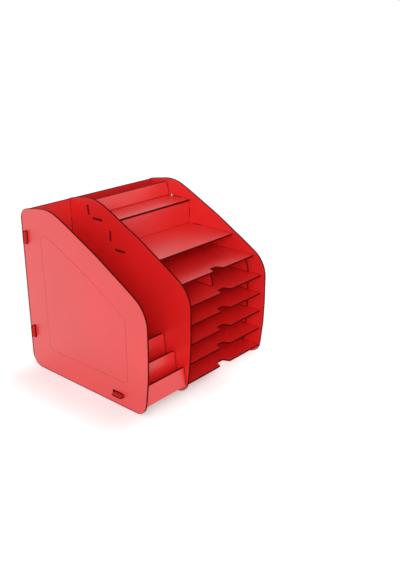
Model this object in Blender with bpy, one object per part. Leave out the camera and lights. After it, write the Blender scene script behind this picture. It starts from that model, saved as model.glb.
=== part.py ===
"""Desktop document tray pressed together from flat lacquered sheets.

Metres, X to the right, Y to the back, Z up. The origin is the middle of the footprint on the
desk. Three upright panels of one sloping profile carry a file bay with two card pockets at the
left, and a tray bay with shelves, a note shelf, a pen ledge and a pen box at the right.
"""
import math

import bmesh
import bpy

# The sheet that everything is cut from, and the fit between touching pieces
SHEET = 0.0030
FIT_GAP = 0.0003

# Clear widths between the upright panels
FILE_BAY_WIDTH = 0.1058
TRAY_BAY_WIDTH = 0.2196

# Heights, from the desk upwards, that stack to the height of the panels
BASE_CLEARANCE = 0.0179
TRAY_PITCH = 0.0382
UPPER_BAY_PITCH = 0.0336
RISER_PITCH = 0.0508
PEN_BOX_FRONT_HEIGHT = 0.0287
CROWN_RISE = 0.0081
TRAY_COUNT = 6

# Depths, from the panels' front edge to the back, that stack to the depth of the panels
TRAY_SETBACK = 0.0098
TRAY_DEPTH = 0.3030
REAR_MARGIN = 0.0113

# Roundings of the panel profile: small corners, and the slow bends of the front and the slope
TOE_RADIUS = 0.025
BELLY_RADIUS = 0.546
SHOULDER_RADIUS = 0.0594
SLOPE_RADIUS = 1.485
CROWN_RADIUS = 0.088
REAR_TOP_RADIUS = 0.023
REAR_BOTTOM_RADIUS = 0.027

# Corners of the panel profile before rounding, as shares of its depth and height
TOE_DEPTH_SHARE = 0.0354
BELLY_HEIGHT_SHARE = 0.2204
SHOULDER_HEIGHT_SHARE = 0.6103
SLOPE_DEPTH_SHARE = 0.3733
SLOPE_HEIGHT_SHARE = 0.8382
CROWN_DEPTH_SHARE = 0.7422
CROWN_HEIGHT_SHARE = 1.0099
REAR_TOP_HEIGHT_SHARE = 0.9682

# Tabs that pass through the panels, and the slots that take them
TAB_REACH = 0.0075
TAB_LENGTH = 0.0246
SHORT_TAB_LENGTH = 0.0180
TAB_CORNER_RADIUS = 0.0030
SLOT_PLAY = 0.0024
LEVEL_SLOT_PLAY = 0.0046
SLOT_RUNOUT = 0.0015
SLOT_CORNER_RADIUS = 0.0014
SNUG_CORNER_RADIUS = 0.0002
RELIEF_LENGTH = 0.0054
RELIEF_RISE = 0.0025

# Back walls
BACK_FOOT_RISE = 0.0120
BACK_TOP_DROP = 0.0107
BACK_LOW_TAB_SHARE = 0.191
BACK_HIGH_TAB_SHARE = 0.7725
FILE_BACK_LOW_TAB_SHARE = 0.330
FILE_BACK_HIGH_TAB_SHARE = 0.600

# File bay floor and the leaning card plates on it
FLOOR_RISE = 0.0188
FLOOR_TAB_SHARE = 0.198
FLOOR_REAR_TAB_SHARE = 0.500
CARD_LEAN = math.radians(5.5)
LIP_SETBACK = 0.0134
LIP_DROP = 0.0031
LIP_HEIGHT = 0.0349
CARD_POCKET_DEPTH = 0.0212
REAR_POCKET_DEPTH = 0.0243
MIDDLE_REST_HEIGHT = 0.0595
REAR_REST_HEIGHT = 0.0873
CARD_END_GAP = 0.0010
CARD_CORNER_RADIUS = 0.0060
CARD_TAB_SHARE = 0.170
CARD_TAB_PLACE_SHARE = 0.300

# Note shelf, riser, pen ledge and pen box
NOTE_SETBACK = 0.0140
NOTE_TAB_SHARE = 0.500
NOTE_REAR_TAB_SHARE = 0.280
RISER_TAB_SHARE = 0.260
LEDGE_NOSE = 0.0005
LEDGE_DEPTH = 0.0597
LEDGE_TAB_SHARE = 0.390
PEN_BOX_DEPTH = 0.0533
PEN_FOOT_MARGIN = 0.0010
PEN_LEAN = math.radians(8.0)
PEN_TAB_RISE = 0.0035
PEN_CORNER_RADIUS = 0.0060

# Tray shelves, their finger notches and the racks that carry them
TOP_TRAY_SETBACK = 0.0115
NOTCH_MOUTH = 0.0300
NOTCH_WIDTH = 0.0180
NOTCH_DEPTH = 0.0140
NOTCH_RADIUS = 0.0035
LOW_SHELF_TAB_SHARE = 0.360
RACK_FOOT_RISE = 0.0060
RACK_SETBACK = 0.0400
DIVIDER_SETBACK = 0.0425
COMB_DEPTH_SHARE = 0.450

# Segments in each quarter turn of a small and of a large rounding
SMALL_SEGMENTS = 4
LARGE_SEGMENTS = 10
SMALL_RADIUS_SHARE = 0.05
SHARP_ANGLE = math.radians(30)

# Levels: middle of each sheet above the desk
LOWEST_LEVEL = BASE_CLEARANCE + SHEET / 2
TOP_TRAY_LEVEL = LOWEST_LEVEL + (TRAY_COUNT - 1) * TRAY_PITCH
NOTE_LEVEL = TOP_TRAY_LEVEL + UPPER_BAY_PITCH
LEDGE_LEVEL = NOTE_LEVEL + RISER_PITCH
FLOOR_LEVEL = FLOOR_RISE + SHEET / 2
PANEL_HEIGHT = LEDGE_LEVEL + SHEET / 2 + PEN_BOX_FRONT_HEIGHT + CROWN_RISE
BACK_TOP = PANEL_HEIGHT - BACK_TOP_DROP

# Depth stations, with the panels centred on the origin
PANEL_DEPTH = TRAY_SETBACK + TRAY_DEPTH + FIT_GAP + SHEET + REAR_MARGIN
PANEL_FRONT = -PANEL_DEPTH / 2
PANEL_REAR = PANEL_DEPTH / 2
TRAY_FRONT = PANEL_FRONT + TRAY_SETBACK
BACK_FACE = TRAY_FRONT + TRAY_DEPTH + FIT_GAP
BACK_MIDDLE = BACK_FACE + SHEET / 2
PEN_FOOT_Y = BACK_FACE - PEN_BOX_DEPTH
RISER_FACE = PEN_FOOT_Y - LEDGE_DEPTH

# Width stations
PANEL_SPAN = FILE_BAY_WIDTH + TRAY_BAY_WIDTH + 2 * SHEET
LEFT_X = -PANEL_SPAN / 2
RIGHT_X = PANEL_SPAN / 2
CENTRE_X = LEFT_X + SHEET + FILE_BAY_WIDTH
FILE_X = (LEFT_X + CENTRE_X) / 2
TRAY_X = (CENTRE_X + RIGHT_X) / 2

# Half widths of the sheets in each bay, and the reach of their tabs beyond them
FILE_HALF = FILE_BAY_WIDTH / 2 - FIT_GAP
TRAY_HALF = TRAY_BAY_WIDTH / 2 - FIT_GAP
OUT_REACH = FIT_GAP + SHEET + TAB_REACH
FLUSH_REACH = FIT_GAP + SHEET

# Colours of the lacquer
RED = (0.76, 0.018, 0.018, 1.0)
BRIGHT_RED = (0.82, 0.024, 0.024, 1.0)
DEEP_RED = (0.66, 0.013, 0.014, 1.0)


def clear_scene():
    """Remove every object that the file holds."""
    for item in list(bpy.data.objects):
        bpy.data.objects.remove(item, do_unlink=True)


def lacquer(name, colour, roughness=0.34):
    """Return a red lacquer for one sheet."""
    material = bpy.data.materials.new(name)
    material.use_nodes = True
    shader = material.node_tree.nodes["Principled BSDF"]
    shader.inputs["Base Color"].default_value = colour
    shader.inputs["Roughness"].default_value = roughness
    shader.inputs["Metallic"].default_value = 0.0
    material.diffuse_color = colour
    return material


def rounded(corners):
    """Return the points of a polygon whose (u, v, radius) corners are rounded with arcs."""
    count = len(corners)
    lengths = []
    for index in range(count):
        here, after = corners[index], corners[(index + 1) % count]
        lengths.append(math.hypot(after[0] - here[0], after[1] - here[1]))
    turns, setbacks = [], []
    for index in range(count):
        before, here, after = corners[index - 1], corners[index], corners[(index + 1) % count]
        heading_in = math.atan2(here[1] - before[1], here[0] - before[0])
        heading_out = math.atan2(after[1] - here[1], after[0] - here[0])
        turn = math.remainder(heading_out - heading_in, math.tau)
        turns.append((heading_in, turn))
        setbacks.append(here[2] * math.tan(abs(turn) / 2))
    # Two roundings that meet on one edge share it, so neither runs past the other
    limits = [1.0] * count
    for index in range(count):
        follower = (index + 1) % count
        wanted = setbacks[index] + setbacks[follower]
        if wanted > lengths[index]:
            share = lengths[index] / wanted
            limits[index] = min(limits[index], share)
            limits[follower] = min(limits[follower], share)
    points = []
    for index, (u, v, radius) in enumerate(corners):
        heading, turn = turns[index]
        radius = radius * limits[index]
        setback = setbacks[index] * limits[index]
        if setback < FIT_GAP / 2 or abs(turn) < SMALL_RADIUS_SHARE:
            points.append((u, v))
            continue
        segments = SMALL_SEGMENTS if radius < SMALL_RADIUS_SHARE * PANEL_HEIGHT else LARGE_SEGMENTS
        steps = max(2, math.ceil(segments * abs(turn) / (math.pi / 2)))
        side = math.copysign(1.0, turn)
        start_u = u - setback * math.cos(heading)
        start_v = v - setback * math.sin(heading)
        centre_u = start_u - side * radius * math.sin(heading)
        centre_v = start_v + side * radius * math.cos(heading)
        for step in range(steps + 1):
            angle = heading + turn * step / steps
            point_u = centre_u + side * radius * math.sin(angle)
            point_v = centre_v - side * radius * math.cos(angle)
            if not points or math.dist(points[-1], (point_u, point_v)) > FIT_GAP / 10:
                points.append((point_u, point_v))
    if math.dist(points[0], points[-1]) < FIT_GAP / 10:
        points.pop()
    return points


def panel_outline():
    """Return the rounded side profile as (y, z) points, anticlockwise from the toe's rear."""
    toe_y = PANEL_FRONT + TOE_DEPTH_SHARE * PANEL_DEPTH
    slope_y = PANEL_FRONT + SLOPE_DEPTH_SHARE * PANEL_DEPTH
    crown_y = PANEL_FRONT + CROWN_DEPTH_SHARE * PANEL_DEPTH
    return rounded([
        (toe_y, 0.0, TOE_RADIUS),
        (PANEL_REAR, 0.0, REAR_BOTTOM_RADIUS),
        (PANEL_REAR, REAR_TOP_HEIGHT_SHARE * PANEL_HEIGHT, REAR_TOP_RADIUS),
        (crown_y, CROWN_HEIGHT_SHARE * PANEL_HEIGHT, CROWN_RADIUS),
        (slope_y, SLOPE_HEIGHT_SHARE * PANEL_HEIGHT, SLOPE_RADIUS),
        (PANEL_FRONT, SHOULDER_HEIGHT_SHARE * PANEL_HEIGHT, SHOULDER_RADIUS),
        (PANEL_FRONT, BELLY_HEIGHT_SHARE * PANEL_HEIGHT, BELLY_RADIUS),
    ])


def front_at(height):
    """Return the y of the profile's front edge at a height."""
    outline = panel_outline()
    crossings = []
    for (y0, z0), (y1, z1) in zip(outline, outline[1:] + outline[:1]):
        if min(z0, z1) <= height <= max(z0, z1) and z0 != z1:
            crossings.append(y0 + (y1 - y0) * (height - z0) / (z1 - z0))
    return min(crossings)


def front_run(low, high, setback):
    """Return the profile's front edge from low up to high, moved back by the setback."""
    highest = max(z for _, z in panel_outline())
    crown_y = max(y for y, z in panel_outline() if z == highest)
    inner = [(y, z) for y, z in panel_outline() if low + FIT_GAP < z < high - FIT_GAP and y < crown_y]
    inner.sort(key=lambda point: point[1])
    ends = [(front_at(low), low)] + inner + [(front_at(high), high)]
    return [(y + setback, z) for y, z in ends]


def slot(u_low, u_high, v_low, v_high, low_free=False, high_free=False):
    """Return the outline of a slot, with larger corner radii on a side that is free of the tab."""
    near = SLOT_CORNER_RADIUS if low_free else SNUG_CORNER_RADIUS
    far = SLOT_CORNER_RADIUS if high_free else SNUG_CORNER_RADIUS
    return rounded([
        (u_low, v_low, near), (u_high, v_low, SNUG_CORNER_RADIUS),
        (u_high, v_high, far), (u_low, v_high, max(near, far)),
    ])


def snug_slot(level, start, length):
    """Return a close slot in a panel for a tab of a level sheet that starts at y = start."""
    half = SHEET / 2 + FIT_GAP
    return slot(start - FIT_GAP, start + length + FIT_GAP, level - half, level + half)


def wide_slot(level, start, length):
    """Return an outer panel's slot for a level sheet: free above the tab and behind it."""
    half = SHEET / 2
    return slot(start - FIT_GAP, start + length + 2 * SLOT_RUNOUT, level - half - FIT_GAP,
                level + half + LEVEL_SLOT_PLAY, high_free=True)


def relieved_slot(level, start, length):
    """Return a close slot for a level sheet, with a small relief that opens behind and above."""
    half = SHEET / 2 + FIT_GAP
    end = start + length + FIT_GAP
    return rounded([
        (start - FIT_GAP, level - half, SNUG_CORNER_RADIUS),
        (end + RELIEF_LENGTH, level - half, SNUG_CORNER_RADIUS),
        (end + RELIEF_LENGTH, level + half + RELIEF_RISE, SLOT_CORNER_RADIUS),
        (end, level + half + RELIEF_RISE, SLOT_CORNER_RADIUS),
        (end, level + half, SNUG_CORNER_RADIUS),
        (start - FIT_GAP, level + half, SNUG_CORNER_RADIUS),
    ])


def snug_upright_slot(middle, start, length):
    """Return a close slot in a panel for a tab of an upright wall that starts at z = start."""
    half = SHEET / 2 + FIT_GAP
    return slot(middle - half, middle + half, start - FIT_GAP, start + length + FIT_GAP)


def wide_upright_slot(middle, start, length):
    """Return an outer panel's slot for an upright wall: free before the tab and below it."""
    half = SHEET / 2
    return slot(middle - half - SLOT_PLAY, middle + half + FIT_GAP, start - SLOT_RUNOUT,
                start + length + FIT_GAP, low_free=True)


def leaning_slot(foot_y, foot_z, lean, start, length):
    """Return a close slot in a panel for a leaning wall's tab, given along the lean."""
    half = SHEET / 2 + FIT_GAP
    low, high = start - FIT_GAP, start + length + FIT_GAP
    corners = []
    for across, along in ((half, low), (-half, low), (-half, high), (half, high)):
        y = foot_y + along * math.sin(lean) - across * math.cos(lean)
        z = foot_z + along * math.cos(lean) + across * math.sin(lean)
        corners.append((y, z, SNUG_CORNER_RADIUS))
    return rounded(corners)


def side_tabs(edge, tabs, outward):
    """Return the corners of tabs on an upright edge, in the order given.

    Each tab is (start, length, reach); outward is 1 for a right edge and -1 for a left edge.
    """
    corners = []
    for start, length, reach in tabs:
        ends = (start, start + length) if outward > 0 else (start + length, start)
        radius = TAB_CORNER_RADIUS if reach > FLUSH_REACH else 0.0
        corners += [(edge, ends[0], 0.0), (edge + outward * reach, ends[0], radius),
                    (edge + outward * reach, ends[1], radius), (edge, ends[1], 0.0)]
    return corners


def end_tabs(edge, tabs, outward):
    """Return the corners of tabs on a level edge; outward is 1 for the far edge, -1 for the near."""
    corners = []
    for start, length, reach in tabs:
        ends = (start + length, start) if outward > 0 else (start, start + length)
        corners += [(ends[0], edge, 0.0), (ends[0], edge + outward * reach, 0.0),
                    (ends[1], edge + outward * reach, 0.0), (ends[1], edge, 0.0)]
    return corners


def finger_notch(edge):
    """Return the corners of the finger notch in the middle of a near edge."""
    return [
        (-NOTCH_MOUTH / 2, edge, NOTCH_RADIUS),
        (-NOTCH_WIDTH / 2, edge + NOTCH_DEPTH, NOTCH_RADIUS),
        (NOTCH_WIDTH / 2, edge + NOTCH_DEPTH, NOTCH_RADIUS),
        (NOTCH_MOUTH / 2, edge, NOTCH_RADIUS),
    ]


def plate(half, near, far, left=(), right=(), back=(), front=(), top_radius=0.0):
    """Return the outline of a plate with tabs on its edges, anticlockwise."""
    corners = [(-half, near, 0.0)] + list(front) + [(half, near, 0.0)]
    corners += side_tabs(half, right, 1)
    corners += [(half, far, top_radius)] + list(back) + [(-half, far, top_radius)]
    corners += side_tabs(-half, left, -1)
    return rounded(corners)


def make_sheet(name, outline, holes, location, rotation, colour):
    """Cut one sheet, its middle plane on its local XY plane, and put it in place."""
    mesh = bpy.data.meshes.new(name)
    sheet = bmesh.new()
    edges = []
    for loop in [outline] + list(holes):
        verts = [sheet.verts.new((u, v, -SHEET / 2)) for u, v in loop]
        for index, vert in enumerate(verts):
            edges.append(sheet.edges.new((vert, verts[(index + 1) % len(verts)])))
    bmesh.ops.triangle_fill(sheet, use_beauty=True, use_dissolve=False, edges=edges)
    grown = bmesh.ops.extrude_face_region(sheet, geom=list(sheet.faces))
    top = [item for item in grown["geom"] if isinstance(item, bmesh.types.BMVert)]
    bmesh.ops.translate(sheet, vec=(0.0, 0.0, SHEET), verts=top)
    bmesh.ops.recalc_face_normals(sheet, faces=list(sheet.faces))
    sheet.to_mesh(mesh)
    sheet.free()
    mesh.shade_smooth()
    mesh.set_sharp_from_angle(angle=SHARP_ANGLE)
    mesh.materials.append(lacquer(name + "_lacquer", colour))
    piece = bpy.data.objects.new(name, mesh)
    bpy.context.scene.collection.objects.link(piece)
    piece.location = location
    piece.rotation_euler = rotation
    return piece


# Rotations: a side panel stands in the YZ plane, a wall in the XZ plane
PANEL_TURN = (math.pi / 2, 0.0, math.pi / 2)
WALL_TURN = (math.pi / 2, 0.0, 0.0)
LEVEL_TURN = (0.0, 0.0, 0.0)


def tab_start(share):
    """Return the y where a tab starts, at a share of the panel's depth."""
    return PANEL_FRONT + share * PANEL_DEPTH


def lean_rise(lean):
    """Return how far a leaning sheet's lower corner reaches below its foot's middle."""
    return SHEET / 2 * math.sin(lean)


def build_backs():
    """Make the two back walls and return the z of their tabs."""
    low = BACK_LOW_TAB_SHARE * PANEL_HEIGHT
    high = BACK_HIGH_TAB_SHARE * PANEL_HEIGHT
    file_low = FILE_BACK_LOW_TAB_SHARE * PANEL_HEIGHT
    file_high = FILE_BACK_HIGH_TAB_SHARE * PANEL_HEIGHT
    outer_left = [(high, TAB_LENGTH, OUT_REACH), (low, TAB_LENGTH, OUT_REACH)]
    inner_right = [(file_low, TAB_LENGTH, FLUSH_REACH), (file_high, TAB_LENGTH, FLUSH_REACH)]
    floor_half = FLOOR_REAR_TAB_SHARE * FILE_HALF
    file_holes = [slot(-floor_half - FIT_GAP, floor_half + FIT_GAP,
                       FLOOR_LEVEL - SHEET / 2 - FIT_GAP, FLOOR_LEVEL + SHEET / 2 + FIT_GAP)]
    outline = plate(FILE_HALF, BACK_FOOT_RISE, BACK_TOP, left=outer_left, right=inner_right)
    make_sheet("file_bay_back", outline, file_holes, (FILE_X, BACK_MIDDLE, 0.0), WALL_TURN, DEEP_RED)
    inner_left = [(high, TAB_LENGTH, FLUSH_REACH), (low, TAB_LENGTH, FLUSH_REACH)]
    outer_right = [(low, TAB_LENGTH, OUT_REACH), (high, TAB_LENGTH, OUT_REACH)]
    note_low, note_high = note_rear_tab()
    tray_holes = []
    for side in (-1, 1):
        ends = sorted((side * note_low, side * note_high))
        tray_holes.append(slot(ends[0] - FIT_GAP, ends[1] + FIT_GAP, NOTE_LEVEL - SHEET / 2 - FIT_GAP,
                               NOTE_LEVEL + SHEET / 2 + FIT_GAP))
    outline = plate(TRAY_HALF, BACK_FOOT_RISE, BACK_TOP, left=inner_left, right=outer_right)
    make_sheet("tray_bay_back", outline, tray_holes, (TRAY_X, BACK_MIDDLE, 0.0), WALL_TURN, DEEP_RED)
    return low, high, file_low, file_high


def note_rear_tab():
    """Return the near and far end of the note shelf's right rear tab, from the bay's middle."""
    middle = 2 * NOTE_REAR_TAB_SHARE * TRAY_HALF
    return middle - TAB_LENGTH / 2, middle + TAB_LENGTH / 2


def floor_front():
    """Return the y of the floor's front edge, just behind the leaning lip."""
    behind = SHEET / 2 / math.cos(CARD_LEAN) + SHEET / 2 * math.tan(CARD_LEAN)
    return PANEL_FRONT + LIP_SETBACK + behind + FIT_GAP


def card_rests():
    """Return name, foot y and height of the two card rests that stand on the floor."""
    middle = PANEL_FRONT + LIP_SETBACK + CARD_POCKET_DEPTH
    return [("card_rest_middle", middle, MIDDLE_REST_HEIGHT),
            ("card_rest_rear", middle + REAR_POCKET_DEPTH, REAR_REST_HEIGHT)]


def build_file_bay():
    """Make the floor of the file bay, the lip and the two card rests."""
    card_half = FILE_BAY_WIDTH / 2 - CARD_END_GAP
    tab_middle = CARD_TAB_PLACE_SHARE * FILE_BAY_WIDTH
    tab_half = CARD_TAB_SHARE * FILE_BAY_WIDTH / 2
    foot = FLOOR_LEVEL + SHEET / 2 + FIT_GAP + lean_rise(CARD_LEAN)
    holes, reach = [], FIT_GAP + SHEET
    for name, foot_y, height in card_rests():
        half = SHEET / 2 / math.cos(CARD_LEAN) + (reach + FIT_GAP) * math.tan(CARD_LEAN) / 2 + FIT_GAP
        middle_y = foot_y - (foot - FLOOR_LEVEL) * math.tan(CARD_LEAN)
        tabs = []
        for side in (-1, 1):
            start = side * tab_middle - tab_half
            tabs.append((start, 2 * tab_half, reach))
            holes.append(slot(start - FIT_GAP, start + 2 * tab_half + FIT_GAP,
                              middle_y - half, middle_y + half))
        outline = plate(card_half, 0.0, height, front=end_tabs(0.0, tabs, -1),
                        top_radius=CARD_CORNER_RADIUS)
        make_sheet(name, outline, [], (FILE_X, foot_y, foot),
                   (math.pi / 2 - CARD_LEAN, 0.0, 0.0), RED)
    outline = plate(card_half, -LIP_DROP, LIP_HEIGHT, top_radius=CARD_CORNER_RADIUS / 2)
    make_sheet("card_lip_front", outline, [], (FILE_X, PANEL_FRONT + LIP_SETBACK, FLOOR_LEVEL),
               (math.pi / 2 - CARD_LEAN, 0.0, 0.0), BRIGHT_RED)
    start = tab_start(FLOOR_TAB_SHARE)
    rear_half = FLOOR_REAR_TAB_SHARE * FILE_HALF
    outline = plate(FILE_HALF, floor_front(), BACK_FACE - FIT_GAP,
                    left=[(start, TAB_LENGTH, OUT_REACH)], right=[(start, TAB_LENGTH, FLUSH_REACH)],
                    back=end_tabs(BACK_FACE - FIT_GAP, [(-rear_half, 2 * rear_half, reach)], 1))
    make_sheet("file_bay_floor", outline, holes, (FILE_X, 0.0, FLOOR_LEVEL), LEVEL_TURN, RED)
    return start


def ledge_front():
    """Return the y of the pen ledge's front edge."""
    return RISER_FACE - LEDGE_NOSE


def pen_foot():
    """Return the y and z of the middle of the pen box front's foot."""
    return PEN_FOOT_Y, LEDGE_LEVEL + SHEET / 2 + FIT_GAP + lean_rise(PEN_LEAN)


def build_top():
    """Make the note shelf, the riser, the pen ledge and the pen box front."""
    note_start = tab_start(NOTE_TAB_SHARE)
    low, high = note_rear_tab()
    rear = BACK_FACE - FIT_GAP
    rear_tabs = [(low, high - low, FLUSH_REACH), (-high, high - low, FLUSH_REACH)]
    outline = plate(TRAY_HALF, front_at(NOTE_LEVEL + SHEET / 2) + NOTE_SETBACK, rear,
                    left=[(note_start, TAB_LENGTH, FLUSH_REACH)],
                    right=[(note_start, TAB_LENGTH, OUT_REACH)], back=end_tabs(rear, rear_tabs, 1))
    make_sheet("note_shelf", outline, [], (TRAY_X, 0.0, NOTE_LEVEL), LEVEL_TURN, BRIGHT_RED)

    riser_low = NOTE_LEVEL + SHEET / 2 + FIT_GAP
    riser_high = LEDGE_LEVEL - SHEET / 2 - FIT_GAP
    riser_start = riser_low + RISER_TAB_SHARE * RISER_PITCH
    outline = plate(TRAY_HALF, riser_low, riser_high,
                    left=[(riser_start, SHORT_TAB_LENGTH, FLUSH_REACH)],
                    right=[(riser_start, SHORT_TAB_LENGTH, OUT_REACH)])
    riser_y = RISER_FACE + SHEET / 2
    make_sheet("riser", outline, [], (TRAY_X, riser_y, 0.0), WALL_TURN, RED)

    foot_y, foot_z = pen_foot()
    ledge_rear = foot_y + SHEET / 2 + PEN_FOOT_MARGIN
    ledge_start = ledge_front() + LEDGE_TAB_SHARE * (ledge_rear - ledge_front())
    outline = plate(TRAY_HALF, ledge_front(), ledge_rear,
                    left=[(ledge_start, TAB_LENGTH, FLUSH_REACH)],
                    right=[(ledge_start, TAB_LENGTH, OUT_REACH)])
    make_sheet("pen_ledge", outline, [], (TRAY_X, 0.0, LEDGE_LEVEL), LEVEL_TURN, BRIGHT_RED)

    # The pen box front is a little shorter than the bay above its tabs, with rounded corners
    pen_tabs = [(PEN_TAB_RISE, SHORT_TAB_LENGTH, OUT_REACH)]
    flush_tabs = [(PEN_TAB_RISE, SHORT_TAB_LENGTH, FLUSH_REACH)]
    outline = plate(TRAY_HALF, 0.0, PEN_BOX_FRONT_HEIGHT / math.cos(PEN_LEAN),
                    left=flush_tabs, right=pen_tabs, top_radius=PEN_CORNER_RADIUS)
    make_sheet("pen_box_front", outline, [], (TRAY_X, foot_y, foot_z),
               (math.pi / 2 - PEN_LEAN, 0.0, 0.0), BRIGHT_RED)
    return note_start, riser_start, riser_y, ledge_start


def comb_depth():
    """Return the y where the racks' slots end and the shelves step in."""
    return TRAY_FRONT + COMB_DEPTH_SHARE * TRAY_DEPTH


def tray_level(number):
    """Return the level of a tray shelf, number 1 being the top one."""
    return TOP_TRAY_LEVEL - (number - 1) * TRAY_PITCH


def build_trays():
    """Make the six shelves, the divider and the two racks."""
    low_left = tab_start(LOW_SHELF_TAB_SHARE)
    low_right = tab_start(FLOOR_TAB_SHARE)
    rear = BACK_FACE - FIT_GAP
    step = comb_depth()
    narrow = TRAY_HALF - SHEET - FIT_GAP
    # The top shelf spans the bay and lies on the racks; the others step in behind their slots
    front = front_at(TOP_TRAY_LEVEL + SHEET / 2) + TOP_TRAY_SETBACK
    outline = plate(TRAY_HALF, front, rear, front=finger_notch(front))
    make_sheet("tray_shelf_1", outline, [], (TRAY_X, 0.0, TOP_TRAY_LEVEL), LEVEL_TURN, RED)
    for number in range(2, TRAY_COUNT + 1):
        corners = [(-TRAY_HALF, TRAY_FRONT, 0.0)] + finger_notch(TRAY_FRONT)
        corners.append((TRAY_HALF, TRAY_FRONT, 0.0))
        if number == TRAY_COUNT:
            corners += side_tabs(TRAY_HALF, [(low_right, TAB_LENGTH, OUT_REACH)], 1)
        corners += [(TRAY_HALF, step, 0.0), (narrow, step, 0.0), (narrow, rear, 0.0),
                    (-narrow, rear, 0.0), (-narrow, step, 0.0), (-TRAY_HALF, step, 0.0)]
        if number == TRAY_COUNT:
            corners += side_tabs(-TRAY_HALF, [(low_left, TAB_LENGTH, FLUSH_REACH)], -1)
        make_sheet("tray_shelf_%d" % number, rounded(corners), [],
                   (TRAY_X, 0.0, tray_level(number)), LEVEL_TURN, RED)

    low = tray_level(2) + SHEET / 2 + FIT_GAP
    high = TOP_TRAY_LEVEL - SHEET / 2 - FIT_GAP
    run = front_run(low, high, DIVIDER_SETBACK)
    outline = [(rear, low), (rear, high)] + run[::-1]
    make_sheet("tray_divider", outline, [], (TRAY_X, 0.0, 0.0), PANEL_TURN, DEEP_RED)

    # Each rack is the profile moved back, with a slot from its front edge for each lower shelf
    outline = [(rear, RACK_FOOT_RISE), (rear, high)]
    half = SHEET / 2 + FIT_GAP
    upper = high
    for number in range(2, TRAY_COUNT + 1):
        level = tray_level(number)
        outline += front_run(level + half, upper, RACK_SETBACK)[::-1]
        outline += [(step + FIT_GAP, level + half), (step + FIT_GAP, level - half)]
        upper = level - half
    outline += front_run(RACK_FOOT_RISE, upper, RACK_SETBACK)[::-1]
    inset = FIT_GAP + SHEET
    for name, x in (("tray_rack_left", CENTRE_X + inset), ("tray_rack_right", RIGHT_X - inset)):
        make_sheet(name, outline, [], (x, 0.0, 0.0), PANEL_TURN, DEEP_RED)
    return low_left, low_right


def build_panels(backs, floor_start, top, trays):
    """Make the three upright panels with a slot for every tab."""
    low, high, file_low, file_high = backs
    note_start, riser_start, riser_y, ledge_start = top
    low_left, low_right = trays
    foot_y, foot_z = pen_foot()
    outline = panel_outline()
    left = [
        wide_upright_slot(BACK_MIDDLE, low, TAB_LENGTH),
        wide_upright_slot(BACK_MIDDLE, high, TAB_LENGTH),
        wide_slot(FLOOR_LEVEL, floor_start, TAB_LENGTH),
    ]
    centre = [
        snug_upright_slot(BACK_MIDDLE, low, TAB_LENGTH),
        snug_upright_slot(BACK_MIDDLE, high, TAB_LENGTH),
        snug_upright_slot(BACK_MIDDLE, file_low, TAB_LENGTH),
        snug_upright_slot(BACK_MIDDLE, file_high, TAB_LENGTH),
        snug_slot(FLOOR_LEVEL, floor_start, TAB_LENGTH),
        snug_slot(LOWEST_LEVEL, low_left, TAB_LENGTH),
        snug_slot(NOTE_LEVEL, note_start, TAB_LENGTH),
        snug_upright_slot(riser_y, riser_start, SHORT_TAB_LENGTH),
        snug_slot(LEDGE_LEVEL, ledge_start, TAB_LENGTH),
        leaning_slot(foot_y, foot_z, PEN_LEAN, PEN_TAB_RISE, SHORT_TAB_LENGTH),
    ]
    right = [
        snug_upright_slot(BACK_MIDDLE, low, TAB_LENGTH),
        snug_upright_slot(BACK_MIDDLE, high, TAB_LENGTH),
        snug_slot(LOWEST_LEVEL, low_right, TAB_LENGTH),
        snug_slot(NOTE_LEVEL, note_start, TAB_LENGTH),
        snug_upright_slot(riser_y, riser_start, SHORT_TAB_LENGTH),
        relieved_slot(LEDGE_LEVEL, ledge_start, TAB_LENGTH),
        leaning_slot(foot_y, foot_z, PEN_LEAN, PEN_TAB_RISE, SHORT_TAB_LENGTH),
    ]
    make_sheet("left_side_panel", outline, left, (LEFT_X, 0.0, 0.0), PANEL_TURN, BRIGHT_RED)
    make_sheet("centre_panel", outline, centre, (CENTRE_X, 0.0, 0.0), PANEL_TURN, DEEP_RED)
    make_sheet("right_side_panel", outline, right, (RIGHT_X, 0.0, 0.0), PANEL_TURN, RED)


clear_scene()
back_tabs = build_backs()
floor_tab = build_file_bay()
top_tabs = build_top()
tray_tabs = build_trays()
build_panels(back_tabs, floor_tab, top_tabs, tray_tabs)
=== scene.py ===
"""Dresses the document tray: red lacquered board with scorched, laser-cut edges, on a pale floor.

Every sheet is a copy of its solid, with rounded arrises, a sooty rim beside its open cuts, painted shade at
its tabs and a finish of its own. The two outer panels also carry a faint scored outline. Metres,
Z up, X to the right, -Y to the front.
"""
from __future__ import annotations

import logging
import math
from dataclasses import dataclass, field, replace
from enum import Enum, IntEnum
from typing import Mapping, Optional, Sequence, Union

import bmesh
import bpy
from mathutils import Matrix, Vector


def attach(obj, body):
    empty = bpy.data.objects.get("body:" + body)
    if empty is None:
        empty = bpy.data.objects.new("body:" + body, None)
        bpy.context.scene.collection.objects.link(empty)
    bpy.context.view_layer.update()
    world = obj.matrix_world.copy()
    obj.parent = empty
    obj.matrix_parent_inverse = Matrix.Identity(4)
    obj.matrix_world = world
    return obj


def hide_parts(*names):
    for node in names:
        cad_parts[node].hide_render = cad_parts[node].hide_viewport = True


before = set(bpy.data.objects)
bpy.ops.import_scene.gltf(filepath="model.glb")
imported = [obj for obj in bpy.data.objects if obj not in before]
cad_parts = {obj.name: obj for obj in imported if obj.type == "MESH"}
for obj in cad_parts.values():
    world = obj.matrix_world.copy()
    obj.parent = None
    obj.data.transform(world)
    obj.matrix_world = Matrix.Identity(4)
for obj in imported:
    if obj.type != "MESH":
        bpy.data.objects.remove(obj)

LOG = logging.getLogger("document_tray")
BODY = "root"
SOOT = "soot"
BOARD = "_board"
TRAY_SHELVES = 6
ROUND_PROFILE = 0.5
NEIGHBOUR_MATERIAL = -1
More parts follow.
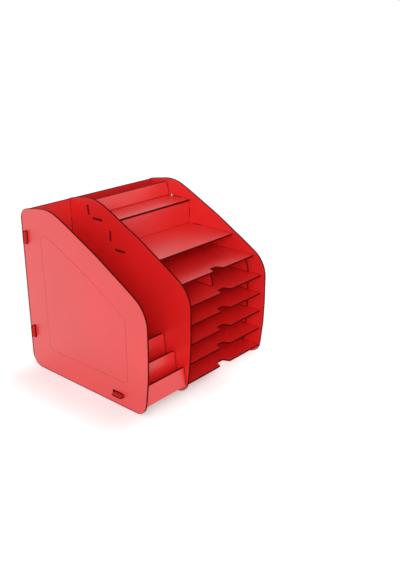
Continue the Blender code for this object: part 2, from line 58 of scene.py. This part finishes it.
NOISE_MIDDLE = 0.5
OPAQUE = 1.0
WHITE = (1.0, 1.0, 1.0)
MIX_FACTOR = 0
MIX_COLOURS = (6, 7)
MIX_RESULT = 2
Colour = tuple[float, float, float]
Point = tuple[float, float, float]
Pair = tuple[float, float]
Term = Union["Wire", float, int]


class Slot(Enum):
    """The record's material slots."""

    PANEL = "panel_lacquer"
    BACK = "back_lacquer"
    SHELF = "shelf_lacquer"
    PLATE = "plate_lacquer"
    RACK = "rack_lacquer"


class Skin(IntEnum):
    """The place of each finish among a sheet's materials."""

    LACQUER = 0
    EDGE = 1
    SCORE = 2


class Outer(Enum):
    """Which outer face of the object a panel has, as a direction along X."""

    LEFT = -1.0
    RIGHT = 1.0


class Facing(Enum):
    """The axis that runs through a sheet's thickness."""

    SIDEWAYS = 0
    FORWARDS = 1
    UPWARDS = 2

    def open_side(self) -> Optional[Vector]:
        """Return where a sheet's exposed rim looks, or None where the whole rim is exposed."""
        looks = {Facing.FORWARDS: (0.0, 0.0, 1.0), Facing.UPWARDS: (0.0, -1.0, 0.0)}
        return Vector(looks[self]) if self in looks else None


@dataclass(frozen=True)
class Grain:
    """A soft noise: its cells for each metre, its finer octaves and how strong those are."""

    scale: float
    detail: float = 2.0
    roughness: float = 0.5


class Wire:
    """An output socket that takes part in Python sums, each of which adds a Math node."""

    def __init__(self, bench: Bench, socket: bpy.types.NodeSocket) -> None:
        """Keep the bench that adds nodes and the socket that this wire starts from."""
        self.bench = bench
        self.socket = socket

    def _math(self, operation: str, first: Term, second: Term) -> Wire:
        """Return the wire of a new Math node on two values."""
        return self.bench.node("ShaderNodeMath", {"operation": operation}, {0: first, 1: second})

    def __add__(self, other: Term) -> Wire:
        """Return self + other."""
        return self._math("ADD", self, other)

    def __radd__(self, other: Term) -> Wire:
        """Return other + self."""
        return self._math("ADD", other, self)

    def __sub__(self, other: Term) -> Wire:
        """Return self - other."""
        return self._math("SUBTRACT", self, other)

    def __rsub__(self, other: Term) -> Wire:
        """Return other - self."""
        return self._math("SUBTRACT", other, self)

    def __mul__(self, other: Term) -> Wire:
        """Return self * other."""
        return self._math("MULTIPLY", self, other)

    def __rmul__(self, other: Term) -> Wire:
        """Return other * self."""
        return self._math("MULTIPLY", other, self)

    def larger(self, other: Term) -> Wire:
        """Return the larger of self and other."""
        return self._math("MAXIMUM", self, other)

    def size(self) -> Wire:
        """Return self without its sign."""
        return self._math("ABSOLUTE", self, 0.0)

    def root(self) -> Wire:
        """Return the square root of self."""
        return self._math("SQRT", self, 0.0)


class Bench:
    """A node tree with one method that adds any node."""

    def __init__(self, tree: bpy.types.NodeTree) -> None:
        """Empty the tree."""
        self.tree = tree
        self.tree.nodes.clear()

    def node(
        self,
        kind: str,
        settings: Optional[Mapping[str, object]] = None,
        sockets: Optional[Mapping[Union[int, str], object]] = None,
        output: Union[int, str] = 0,
    ) -> Wire:
        """Add a node, set it up and feed its sockets.

        Args:
            kind: The node's type.
            settings: The node's own settings, set before its sockets.
            sockets: A value or a wire for each input, by index or name.
            output: The output that the wire starts from.

        Returns:
            A wire from the chosen output.
        """
        made = self.tree.nodes.new(kind)
        for name, value in (settings or {}).items():
            setattr(made, name, value)
        for key, value in (sockets or {}).items():
            if isinstance(value, Wire):
                self.tree.links.new(value.socket, made.inputs[key])
            else:
                made.inputs[key].default_value = value
        return Wire(self, made.outputs[output] if made.outputs else None)

    def end(self, shader: Wire, kind: str = "ShaderNodeOutputMaterial") -> None:
        """End the tree in a shader, through an output node of the given kind."""
        self.node(kind, sockets={"Surface": shader})

    def paint(self, sockets: Mapping[str, object]) -> None:
        """End the tree in a Principled shader with these sockets."""
        self.end(self.node("ShaderNodeBsdfPrincipled", sockets=sockets))

    def place(self) -> Wire:
        """Return the Object coordinates."""
        return self.node("ShaderNodeTexCoord", output="Object")

    def axes(self) -> list[Wire]:
        """Return the Object coordinates' X, Y and Z."""
        place = {0: self.place()}
        return [self.node("ShaderNodeSeparateXYZ", sockets=place, output=axis) for axis in "XYZ"]

    def stretched(self, scale: Sequence[float]) -> Wire:
        """Return Object coordinates multiplied by a scale on each axis."""
        return self.node("ShaderNodeMapping", sockets={"Vector": self.place(), "Scale": tuple(scale)})

    def noise(self, vector: Wire, grain: Grain) -> Wire:
        """Return a soft noise.

        Args:
            vector: The coordinates that the noise reads.
            grain: How fine and how rough the noise is.

        Returns:
            The noise as a value from 0 to 1.
        """
        settings = {"Scale": grain.scale, "Detail": grain.detail, "Roughness": grain.roughness}
        return self.node("ShaderNodeTexNoise", sockets={"Vector": vector, **settings})

    def eased(self, value: Wire, low: float = 0.0, high: float = 1.0) -> Wire:
        """Return value mapped smoothly to 0 at low and to 1 at high."""
        settings = {"interpolation_type": "SMOOTHSTEP"}
        return self.node("ShaderNodeMapRange", settings, {"Value": value, "From Min": low, "From Max": high})

    def blend(self, share: Term, first: Union[Wire, Colour], second: Union[Wire, Colour]) -> Wire:
        """Mix two colours.

        Args:
            share: 0 for the first colour alone, 1 for the second alone.
            first: A colour or its wire.
            second: A colour or its wire.

        Returns:
            The mixed colour.
        """
        settings = {"data_type": "RGBA", "clamp_factor": True}
        sockets = {MIX_FACTOR: share}
        for key, end in zip(MIX_COLOURS, (first, second)):
            sockets[key] = end if isinstance(end, Wire) else (*end, OPAQUE)
        return self.node("ShaderNodeMix", settings, sockets, MIX_RESULT)

    def bump(self, height: Wire, depth: float) -> Wire:
        """Return the normal of a relief of the given depth in metres."""
        return self.node("ShaderNodeBump", sockets={"Height": height, "Distance": depth, "Strength": 1.0})


def new_finish(name: str) -> tuple[bpy.types.Material, Bench]:
    """Make a new material.

    Args:
        name: The material's name.

    Returns:
        The material and the bench that holds its nodes.
    """
    material = bpy.data.materials.new(name)
    material.use_nodes = True
    return material, Bench(material.node_tree)


def new_mesh(name: str, form: bmesh.types.BMesh) -> bpy.types.Mesh:
    """Turn a form into a mesh and free it.

    Args:
        name: The mesh's name.
        form: The form, which can't be used afterwards.

    Returns:
        The mesh.
    """
    mesh = bpy.data.meshes.new(name)
    form.to_mesh(mesh)
    form.free()
    return mesh


def set_out(name: str, data: bpy.types.ID) -> bpy.types.Object:
    """Put a new object into the scene.

    Args:
        name: The object's name.
        data: Its mesh, lamp or camera.

    Returns:
        The object, at the origin.
    """
    item = bpy.data.objects.new(name, data)
    bpy.context.scene.collection.objects.link(item)
    return item


@dataclass(frozen=True)
class TabShade:
    """Painted shade on the lacquer of a sheet whose tabs pass through an outer panel: dark in the slots at
    the tabs' roots, darker on the tabs and, where a zone is given, a painted shadow in that zone.
    """

    root_start: float = 0.1641
    tab_start: float = 0.1674
    softness: float = 0.0006
    root_strength: float = 1.0
    tab_strength: float = 0.22
    # The zone is a painted shadow on the bay floor beside its tab.
    zone_low: Point = (-0.1641, -0.1000, 0.0190)
    zone_high: Point = (-0.1600, -0.0700, 0.0230)
    zone_strength: float = 0.0

    def within(self, value: Wire, low: float, high: float) -> Wire:
        """Mark a stretch of a value.

        Args:
            value: The value.
            low: Where the stretch starts.
            high: Where the stretch ends.

        Returns:
            1 between low and high, with soft ends, and 0 elsewhere.
        """
        bench = value.bench
        rise = bench.eased(value, low - self.softness, low)
        return rise * (1.0 - bench.eased(value, high, high + self.softness))

    def mask(self, bench: Bench) -> Wire:
        """Mark the painted shade at the tabs' roots, on the tabs and in the zone, if there is one.

        Args:
            bench: Where the nodes are added.

        Returns:
            How dark the painted shade makes each place, from 0 to 1.
        """
        axes = bench.axes()
        aside = axes[0].size()
        # Painted shade: darkest in the slot at each tab's root, lighter on the tab beyond it.
        root = self.within(aside, self.root_start, self.tab_start) * self.root_strength
        tab = bench.eased(aside, self.tab_start, self.tab_start + self.softness) * self.tab_strength
        if not self.zone_strength:
            return root.larger(tab)
        zone: Term = self.zone_strength
        for axis, low, high in zip(axes, self.zone_low, self.zone_high):
            zone = self.within(axis, low, high) * zone
        return root.larger(tab).larger(zone)


@dataclass(frozen=True)
class FootShadeAndRearLine:
    """A dark line along a panel's rear rim, and painted contact shade along its foot."""

    rear: float = 0.1637
    rear_width: float = 0.0042
    foot: float = 0.0
    foot_width: float = 0.0020
    softness: float = 0.0006
    strength: float = 0.70

    def mask(self, bench: Bench) -> Wire:
        """Mark the two rims.

        Args:
            bench: Where the nodes are added.

        Returns:
            How dark the two lines make each place, from 0 to 1.
        """
        _, along, up = bench.axes()
        start = self.rear - self.rear_width
        rear = bench.eased(along, start - self.softness, start)
        end = self.foot + self.foot_width
        # Painted contact shade along the foot, where the panel stands on the floor.
        foot = 1.0 - bench.eased(up, end, end + self.softness)
        return rear.larger(foot) * self.strength


@dataclass(frozen=True)
class Lacquer:
    """Sprayed red satin lacquer on hardboard: faint clouds, fine flecks and an orange peel."""

    name: str
    tone: Colour = (0.83, 0.014, 0.014)
    deep_share: float = 0.90
    soot_and_shade_tone: Colour = (0.13, 0.002, 0.0015)
    roughness: float = 0.44
    coat: float = 1.0
    coat_roughness: float = 0.34
    cloud: Grain = Grain(7.0)
    fleck: Grain = Grain(900.0, 3.0, 0.65)
    peel: Grain = Grain(340.0, 2.0, 0.45)
    waver: Grain = Grain(160.0, 3.0)
    cloud_share: float = 0.7
    fleck_share: float = 0.3
    tone_ends: Pair = (0.32, 0.68)
    waver_share: float = 0.3
    stain_ends: Pair = (0.05, 0.60)
    stain_strength: float = 0.85
    fleck_roughness: float = 0.10
    peel_roughness: float = 0.05
    soot_and_shade_roughness: float = 0.15
    fleck_relief: float = 0.18
    peel_depth: float = 0.00006
    # The marks paint shade at tabs and along panels' feet, and draw a dark line on their rear rims.
    marks: tuple[Union[TabShade, FootShadeAndRearLine], ...] = ()

    def soot_and_shade(self, bench: Bench) -> Wire:
        """Mark what the soot rim and the painted shade of the marks darken.

        Args:
            bench: Where the nodes are added.

        Returns:
            How dark each place is, from 0 to 1.
        """
        soot = bench.node("ShaderNodeAttribute", {"attribute_name": SOOT}, output="Fac")
        waver = bench.noise(bench.place(), self.waver)
        rim = soot + (waver - NOISE_MIDDLE) * self.waver_share
        soot_and_shade = bench.eased(rim, *self.stain_ends) * self.stain_strength
        for mark in self.marks:
            soot_and_shade = soot_and_shade.larger(mark.mask(bench))
        return soot_and_shade

    def make(self) -> bpy.types.Material:
        """Make the finish.

        Returns:
            The material.
        """
        material, bench = new_finish(self.name)
        place = bench.place()
        cloud = bench.noise(place, self.cloud)
        fleck = bench.noise(place, self.fleck)
        peel = bench.noise(place, self.peel)
        soot_and_shade = self.soot_and_shade(bench)
        shade = bench.eased(cloud * self.cloud_share + fleck * self.fleck_share, *self.tone_ends)
        deep = tuple(channel * self.deep_share for channel in self.tone)
        paint = bench.blend(shade, deep, self.tone)
        grit = fleck * self.fleck_roughness + peel * self.peel_roughness
        base = self.roughness - NOISE_MIDDLE * (self.fleck_roughness + self.peel_roughness)
        # The soot rim is real char; where the marks reach, the same dark tone is painted shade.
        bench.paint({
            "Base Color": bench.blend(soot_and_shade, paint, self.soot_and_shade_tone),
            "Roughness": grit + soot_and_shade * self.soot_and_shade_roughness + base,
            "Coat Weight": (1.0 - soot_and_shade) * self.coat,
            "Coat Roughness": self.coat_roughness,
            "Normal": bench.bump(peel + fleck * self.fleck_relief, self.peel_depth),
        })
        return material


@dataclass(frozen=True)
class ScorchedEdge:
    """The edge that a laser leaves on red hardboard: dark, matt and lined across the sheet."""

    name: str
    facing: Facing
    char_tone: Colour = (0.065, 0.0016, 0.0013)
    ember_tone: Colour = (0.145, 0.0028, 0.0022)
    sheen: float = 0.02
    roughness: float = 0.66
    lines: Grain = Grain(2300.0, 2.0, 0.6)
    patch: Grain = Grain(60.0, 3.0)
    across_share: float = 0.04
    line_share: float = 0.65
    patch_share: float = 0.45
    ember_ends: Pair = (0.36, 0.78)
    line_roughness: float = 0.16
    patch_roughness: float = 0.12
    line_depth: float = 0.00005

    def make(self) -> bpy.types.Material:
        """Make the finish.

        Returns:
            The material.
        """
        material, bench = new_finish(self.name)
        scale = [1.0 for _ in Facing]
        scale[self.facing.value] = self.across_share
        lines = bench.noise(bench.stretched(scale), self.lines)
        patch = bench.noise(bench.place(), self.patch)
        ember = bench.eased(lines * self.line_share + patch * self.patch_share, *self.ember_ends)
        bench.paint({
            "Base Color": bench.blend(ember, self.char_tone, self.ember_tone),
            "Roughness": self.roughness + lines * self.line_roughness - patch * self.patch_roughness,
            "Specular IOR Level": self.sheen,
            "Normal": bench.bump(lines, self.line_depth),
        })
        return material


@dataclass(frozen=True)
class ScoredLine:
    """The bottom of a shallow line that the laser drew in the lacquer."""

    name: str
    tone: Colour = (0.42, 0.010, 0.010)
    pale_tone: Colour = (0.62, 0.016, 0.015)
    dots: Grain = Grain(1400.0, 1.0)
    dot_ends: Pair = (0.35, 0.65)
    roughness: float = 0.6
    dot_roughness: float = 0.1

    def make(self) -> bpy.types.Material:
        """Make the finish.

        Returns:
            The material.
        """
        material, bench = new_finish(self.name)
        dots = bench.noise(bench.place(), self.dots)
        bench.paint({
            "Base Color": bench.blend(bench.eased(dots, *self.dot_ends), self.tone, self.pale_tone),
            "Roughness": self.roughness + dots * self.dot_roughness,
        })
        return material


@dataclass
class Paintshop:
    """Holds the finishes and hands each sheet its own."""

    floor_sheet: str = "file_bay_floor"
    lacquers: dict[Union[Slot, str], bpy.types.Material] = field(default_factory=dict)
    edges: dict[Facing, bpy.types.Material] = field(default_factory=dict)
    score: Optional[bpy.types.Material] = None

    def mix(self) -> None:
        """Make every finish."""
        tab_shade = (TabShade(),)
        # On the bay floor the zone beside the tab is a painted shadow.
        floor_tab_shade = (TabShade(root_strength=0.10, tab_strength=0.0, zone_strength=1.0),)
        # Every sheet is the same red board: the shelves' lighter tone is painted light, the back walls' and
        # racks' darker tones are painted shade.
        shelf = Lacquer("shelf_red_painted_light", tone=(0.87, 0.016, 0.016), coat=0.65, marks=tab_shade)
        coats = {
            Slot.PANEL: Lacquer("panel_red", marks=(FootShadeAndRearLine(),)),
            Slot.BACK: Lacquer("back_wall_red_painted_shade", tone=(0.79, 0.013, 0.013), marks=tab_shade),
            Slot.SHELF: shelf,
            Slot.PLATE: Lacquer("plate_red", tone=(0.84, 0.016, 0.016), marks=tab_shade),
            Slot.RACK: Lacquer("rack_red_painted_shade", tone=(0.78, 0.012, 0.013), coat=0.8),
            self.floor_sheet: replace(shelf, name="bay_floor_red_painted_light", marks=floor_tab_shade),
        }
        for key, coat in coats.items():
            self.lacquers[key] = coat.make()
        for facing in Facing:
            self.edges[facing] = ScorchedEdge("scorched_edge_" + facing.name.lower(), facing).make()
        self.score = ScoredLine("scored_line").make()

    def lacquer(self, node: str, slot: Slot) -> bpy.types.Material:
        """Return a sheet's own lacquer, or else its slot's."""
        return self.lacquers.get(node, self.lacquers[slot])


@dataclass(frozen=True)
class EdgeCraft:
    """How the laser leaves a sheet's edges.

    A share is the cosine between a face's normal and a direction. Through the sheet, a face above
    broad_share is a broad one, and one above lacquer_share, or arris_share at a hidden rim, carries
    lacquer. Towards the open side, a rim below open_share is a hidden one.
    """

    weld_gap: float = 0.00001
    flat_angle: float = math.radians(0.4)
    broad_share: float = 0.999
    lacquer_share: float = 0.96
    arris_share: float = 0.30
    open_share: float = 0.08
    corner_angle: float = math.radians(30)
    arris: float = 0.00030
    arris_segments: int = 2
    soot_width: float = 0.0013
    crisp_angle: float = math.radians(40)


class CutSheet:
    """One sheet, copied from its solid and finished."""

    craft = EdgeCraft()

    def __init__(self, node: str, slot: Slot, facing: Facing, shop: Paintshop) -> None:
        """Keep what the sheet is made from.

        Args:
            node: The name of the solid.
            slot: The record's slot for the lacquer.
            facing: The axis through the sheet's thickness.
            shop: Where the finishes are.
        """
        self.node = node
        self.slot = slot
        self.facing = facing
        self.shop = shop

    def hidden(self, normal: Vector) -> bool:
        """Return whether a rim that looks along normal lies against another sheet."""
        look = self.facing.open_side()
        return look is not None and normal.dot(look) < self.craft.open_share

    def arrises(self, board: bmesh.types.BMesh, across: Vector) -> list[bmesh.types.BMEdge]:
        """Find the edges to round.

        Args:
            board: The sheet's form.
            across: The direction through the sheet.

        Returns:
            The edges of the two broad faces and the sharp corners of the rim.
        """
        found = []
        for edge in board.edges:
            broad = [abs(face.normal.dot(across)) > self.craft.broad_share for face in edge.link_faces]
            corner = not any(broad) and edge.calc_face_angle(0.0) > self.craft.corner_angle
            if corner or broad.count(True) == 1:
                found.append(edge)
        return found

    def shape(self) -> bpy.types.Mesh:
        """Shape the sheet.

        Returns:
            Its mesh, with rounded arrises and a rim that carries the soot.
        """
        craft = self.craft
        board = bmesh.new()
        board.from_mesh(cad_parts[self.node].data)
        bmesh.ops.remove_doubles(board, verts=board.verts, dist=craft.weld_gap)
        bmesh.ops.dissolve_limit(
            board, angle_limit=craft.flat_angle, verts=board.verts, edges=board.edges, delimit=set()
        )
        across = max(board.faces, key=lambda face: face.calc_area()).normal.copy()
        bmesh.ops.bevel(
            board, geom=self.arrises(board, across), offset=craft.arris, segments=craft.arris_segments,
            profile=ROUND_PROFILE, affect="EDGES", clamp_overlap=True, material=NEIGHBOUR_MATERIAL,
        )
        board.normal_update()
        sides = [face for face in board.faces if abs(face.normal.dot(across)) > craft.broad_share]
        bmesh.ops.inset_region(board, faces=sides, thickness=craft.soot_width, use_even_offset=True)
        board.normal_update()
        soot = board.verts.layers.float.new(SOOT)
        clean = {vert for face in sides for vert in face.verts}
        for vert in board.verts:
            vert[soot] = 0.0 if self.hidden(vert.normal) or vert in clean else 1.0
        for face in board.faces:
            share = craft.arris_share if self.hidden(face.normal) else craft.lacquer_share
            face.smooth = True
            face.material_index = Skin.LACQUER if abs(face.normal.dot(across)) > share else Skin.EDGE
        mesh = new_mesh(self.node + BOARD, board)
        mesh.set_sharp_from_angle(angle=craft.crisp_angle)
        return mesh

    def build(self) -> bpy.types.Object:
        """Make the finished sheet.

        Returns:
            Its piece, which stands for the solid and rides with it.
        """
        mesh = self.shape()
        mesh.materials.append(self.shop.lacquer(self.node, self.slot))
        mesh.materials.append(self.shop.edges[self.facing])
        piece = set_out(self.node + BOARD, mesh)
        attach(piece, BODY)
        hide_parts(self.node)
        return piece


@dataclass
class ScoredOutline:
    """The thin outline that follows the panel's profile on an outer face."""

    shoulder: Pair = (-0.1109, 0.1765)
    bend: Pair = (-0.0049, 0.2385)
    crest: Pair = (0.0900, 0.2825)
    rear_top: Pair = (0.1080, 0.2825)
    rear_foot: Pair = (0.1052, 0.0500)
    front_foot: Pair = (-0.1119, 0.0510)
    corner_run: float = 0.0090
    crest_run: float = 0.0030
    bend_run: float = 0.0300
    corner_segments: int = 6
    width: float = 0.00050
    depth: float = 0.00035
    outside: float = 0.0010

    def cutter(self, face_x: float, inwards: float) -> bpy.types.Object:
        """Make the ring that cuts the line into a panel.

        Args:
            face_x: The outer face's place on X.
            inwards: 1 if the panel lies on the face's +X side, else -1.

        Returns:
            The cutter, a closed ring.
        """
        start = face_x - inwards * self.outside
        runs = [
            (self.front_foot, self.corner_run),
            (self.rear_foot, self.corner_run),
            (self.rear_top, self.corner_run),
            (self.crest, self.crest_run),
            (self.bend, self.bend_run),
            (self.shoulder, self.corner_run),
        ]
        ring = bmesh.new()
        verts = [ring.verts.new((start, y, z)) for (y, z), _ in runs]
        ring.faces.new(verts)
        for vert, (_, run) in zip(verts, runs):
            bmesh.ops.bevel(
                ring, geom=[vert], offset=run, segments=self.corner_segments, profile=ROUND_PROFILE,
                affect="VERTICES", clamp_overlap=False, material=NEIGHBOUR_MATERIAL,
            )
        inner = list(ring.faces)
        band = bmesh.ops.inset_region(
            ring, faces=inner, thickness=self.width, use_even_offset=True, use_boundary=True
        )["faces"]
        bmesh.ops.delete(ring, geom=inner, context="FACES_ONLY")
        grown = bmesh.ops.extrude_face_region(ring, geom=band)["geom"]
        far = [item for item in grown if isinstance(item, bmesh.types.BMVert)]
        bmesh.ops.translate(ring, vec=(inwards * (self.outside + self.depth), 0.0, 0.0), verts=far)
        bmesh.ops.recalc_face_normals(ring, faces=ring.faces)
        for face in ring.faces:
            face.material_index = Skin.SCORE
        return set_out("score_cutter", new_mesh("score_cutter", ring))

    def score(self, piece: bpy.types.Object, shop: Paintshop, side: Outer) -> None:
        """Cut the line into the outer face of a panel.

        Args:
            piece: The finished panel.
            shop: Where the finishes are.
            side: The side of the object that the outer face is on.
        """
        places = [vert.co.x for vert in piece.data.vertices]
        cutter = self.cutter(max(places) if side is Outer.RIGHT else min(places), -side.value)
        piece.data.materials.append(shop.score)
        for material in piece.data.materials:
            cutter.data.materials.append(material)
        cut = piece.modifiers.new("score", "BOOLEAN")
        cut.object = cutter
        cut.solver = "EXACT"
        graph = bpy.context.evaluated_depsgraph_get()
        mesh = bpy.data.meshes.new_from_object(piece.evaluated_get(graph))
        piece.modifiers.clear()
        piece.data = mesh
        bpy.data.objects.remove(cutter, do_unlink=True)


@dataclass
class Assembly:
    """Sheets that belong together: each one's solid, slot and the axis through it."""

    shop: Paintshop
    sheets: tuple[tuple[str, Slot, Facing], ...] = ()

    def build(self) -> list[bpy.types.Object]:
        """Return the finished sheets."""
        return [CutSheet(name, slot, facing, self.shop).build() for name, slot, facing in self.sheets]


@dataclass
class SidePanels(Assembly):
    """The three upright panels that stand on the desk."""

    sheets: tuple[tuple[str, Slot, Facing], ...] = (
        ("left_side_panel", Slot.PANEL, Facing.SIDEWAYS),
        ("centre_panel", Slot.PANEL, Facing.SIDEWAYS),
        ("right_side_panel", Slot.PANEL, Facing.SIDEWAYS),
    )
    outline: ScoredOutline = field(default_factory=ScoredOutline)

    def build(self) -> list[bpy.types.Object]:
        """Make the panels and score the outer two.

        Returns:
            The three panels, from left to right.
        """
        left, centre, right = super().build()
        self.outline.score(left, self.shop, Outer.LEFT)
        self.outline.score(right, self.shop, Outer.RIGHT)
        return [left, centre, right]


@dataclass
class FileBay(Assembly):
    """The tall bay, with its back wall, its floor and the card plates."""

    sheets: tuple[tuple[str, Slot, Facing], ...] = (
        ("file_bay_back", Slot.BACK, Facing.FORWARDS),
        ("file_bay_floor", Slot.SHELF, Facing.UPWARDS),
        ("card_lip_front", Slot.PLATE, Facing.FORWARDS),
        ("card_rest_middle", Slot.PLATE, Facing.FORWARDS),
        ("card_rest_rear", Slot.PLATE, Facing.FORWARDS),
    )


@dataclass
class TopDeck(Assembly):
    """The note shelf, the riser, the pen ledge, the pen box front and the wall behind them."""

    sheets: tuple[tuple[str, Slot, Facing], ...] = (
        ("note_shelf", Slot.SHELF, Facing.UPWARDS),
        ("riser", Slot.BACK, Facing.FORWARDS),
        ("pen_ledge", Slot.SHELF, Facing.UPWARDS),
        ("pen_box_front", Slot.PLATE, Facing.FORWARDS),
        ("tray_bay_back", Slot.BACK, Facing.FORWARDS),
    )


@dataclass
class TrayStack(Assembly):
    """The tray shelves from the top one down, the divider and the two comb racks."""

    sheets: tuple[tuple[str, Slot, Facing], ...] = (
        *(("tray_shelf_%d" % (row + 1), Slot.SHELF, Facing.UPWARDS) for row in range(TRAY_SHELVES)),
        ("tray_divider", Slot.RACK, Facing.SIDEWAYS),
        ("tray_rack_left", Slot.RACK, Facing.SIDEWAYS),
        ("tray_rack_right", Slot.RACK, Facing.SIDEWAYS),
    )


@dataclass
class Studio:
    """The floor, the light and the camera, which stands where the photograph's stood.

    The floor glows least within near_half of glow_centre and most beyond far_half, on X and on Y, so
    that it is white far away and keeps the object's shadow near by.
    """

    floor_radius: float = 30.0
    floor_sides: int = 64
    floor_drop: float = 0.0002
    floor_tone: Colour = (0.80, 0.80, 0.80)
    floor_glow: float = 0.28
    far_glow: float = 0.60
    glow_centre: Pair = (-0.10, 0.0)
    near_half: Pair = (0.090, 0.110)
    far_half: Pair = (0.210, 0.225)
    sky_strength: float = 0.58
    key_place: Point = (-2.15, -2.05, 1.35)
    key_size: float = 1.8
    key_power: float = 54.0
    target: Point = (0.0, 0.0, 0.15)
    viewpoint: Point = (-0.9412, -0.9500, 0.6843)
    line_of_sight: Point = (0.70400, 0.60923, -0.36500)
    lens: float = 45.94
    film: float = 36.0
    sight: float = 60.0

    @staticmethod
    def seen(bench: Bench) -> Wire:
        """Tell the rays that show a thing from those that only light it.

        Args:
            bench: Where the nodes are added.

        Returns:
            1 for rays that show a thing to the camera, in a gloss or through glass, else 0.
        """
        names = ("Is Camera Ray", "Is Glossy Ray", "Is Transmission Ray")
        camera, glossy, through = [bench.node("ShaderNodeLightPath", output=name) for name in names]
        return camera.larger(glossy).larger(through)

    def glow(self, bench: Bench) -> Wire:
        """Mark how brightly the floor glows.

        Args:
            bench: Where the nodes are added.

        Returns:
            The floor's glow at each place.
        """
        spans = zip(bench.axes(), self.glow_centre, self.near_half, self.far_half)
        aside, ahead = [
            ((axis - centre).size() - near).larger(0.0) * (1.0 / (far - near))
            for axis, centre, near, far in spans
        ]
        share = bench.eased((aside * aside + ahead * ahead).root())
        return self.floor_glow + share * (self.far_glow - self.floor_glow)

    def lay_floor(self) -> None:
        """Make the pale floor, which keeps the shadows."""
        disc = bmesh.new()
        bmesh.ops.create_circle(disc, cap_ends=True, segments=self.floor_sides, radius=self.floor_radius)
        bmesh.ops.translate(disc, vec=(0.0, 0.0, -self.floor_drop), verts=disc.verts)
        floor = set_out("studio_floor", new_mesh("studio_floor", disc))
        material, bench = new_finish("pale_floor")
        paper = bench.node("ShaderNodeBsdfDiffuse", sockets={"Color": (*self.floor_tone, OPAQUE)})
        light = {"Color": self.glow(bench), "Strength": self.seen(bench)}
        glow = bench.node("ShaderNodeEmission", sockets=light)
        bench.end(bench.node("ShaderNodeAddShader", sockets={0: paper, 1: glow}))
        floor.data.materials.append(material)

    def hang_lights(self) -> None:
        """Make the white surround and the one large lamp."""
        world = bpy.data.worlds.new("white_room")
        world.use_nodes = True
        bench = Bench(world.node_tree)
        strength = self.sky_strength + self.seen(bench) * (1.0 - self.sky_strength)
        light = {"Color": (*WHITE, OPAQUE), "Strength": strength}
        bench.end(bench.node("ShaderNodeBackground", sockets=light), "ShaderNodeOutputWorld")
        bpy.context.scene.world = world
        lamp = bpy.data.lights.new("soft_box", "AREA")
        lamp.shape = "SQUARE"
        lamp.size = self.key_size
        lamp.energy = self.key_power
        key = set_out("soft_box", lamp)
        key.location = self.key_place
        aim = Vector(self.target) - Vector(self.key_place)
        key.rotation_euler = aim.to_track_quat("-Z", "Y").to_euler()

    def set_camera(self) -> None:
        """Make the camera at the photograph's viewpoint."""
        data = bpy.data.cameras.new("camera")
        data.lens = self.lens
        data.sensor_width = self.film
        data.clip_end = self.sight
        camera = set_out("camera", data)
        camera.location = self.viewpoint
        camera.rotation_euler = Vector(self.line_of_sight).to_track_quat("-Z", "Y").to_euler()
        bpy.context.scene.camera = camera
        bpy.context.scene.view_settings.view_transform = "Standard"

    def build(self) -> None:
        """Make the whole studio."""
        self.set_camera()
        self.lay_floor()
        self.hang_lights()


def main() -> None:
    """Build every sub-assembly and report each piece."""
    logging.basicConfig(level=logging.INFO, format="%(message)s")
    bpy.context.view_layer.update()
    Studio().build()
    shop = Paintshop()
    shop.mix()
    for assembly in (SidePanels(shop), FileBay(shop), TopDeck(shop), TrayStack(shop)):
        for piece in assembly.build():
            faces = len(piece.data.polygons)
            LOG.info("%s: %s, %d faces, rides %s", type(assembly).__name__, piece.name, faces, BODY)


if __name__ == "__main__":
    main()
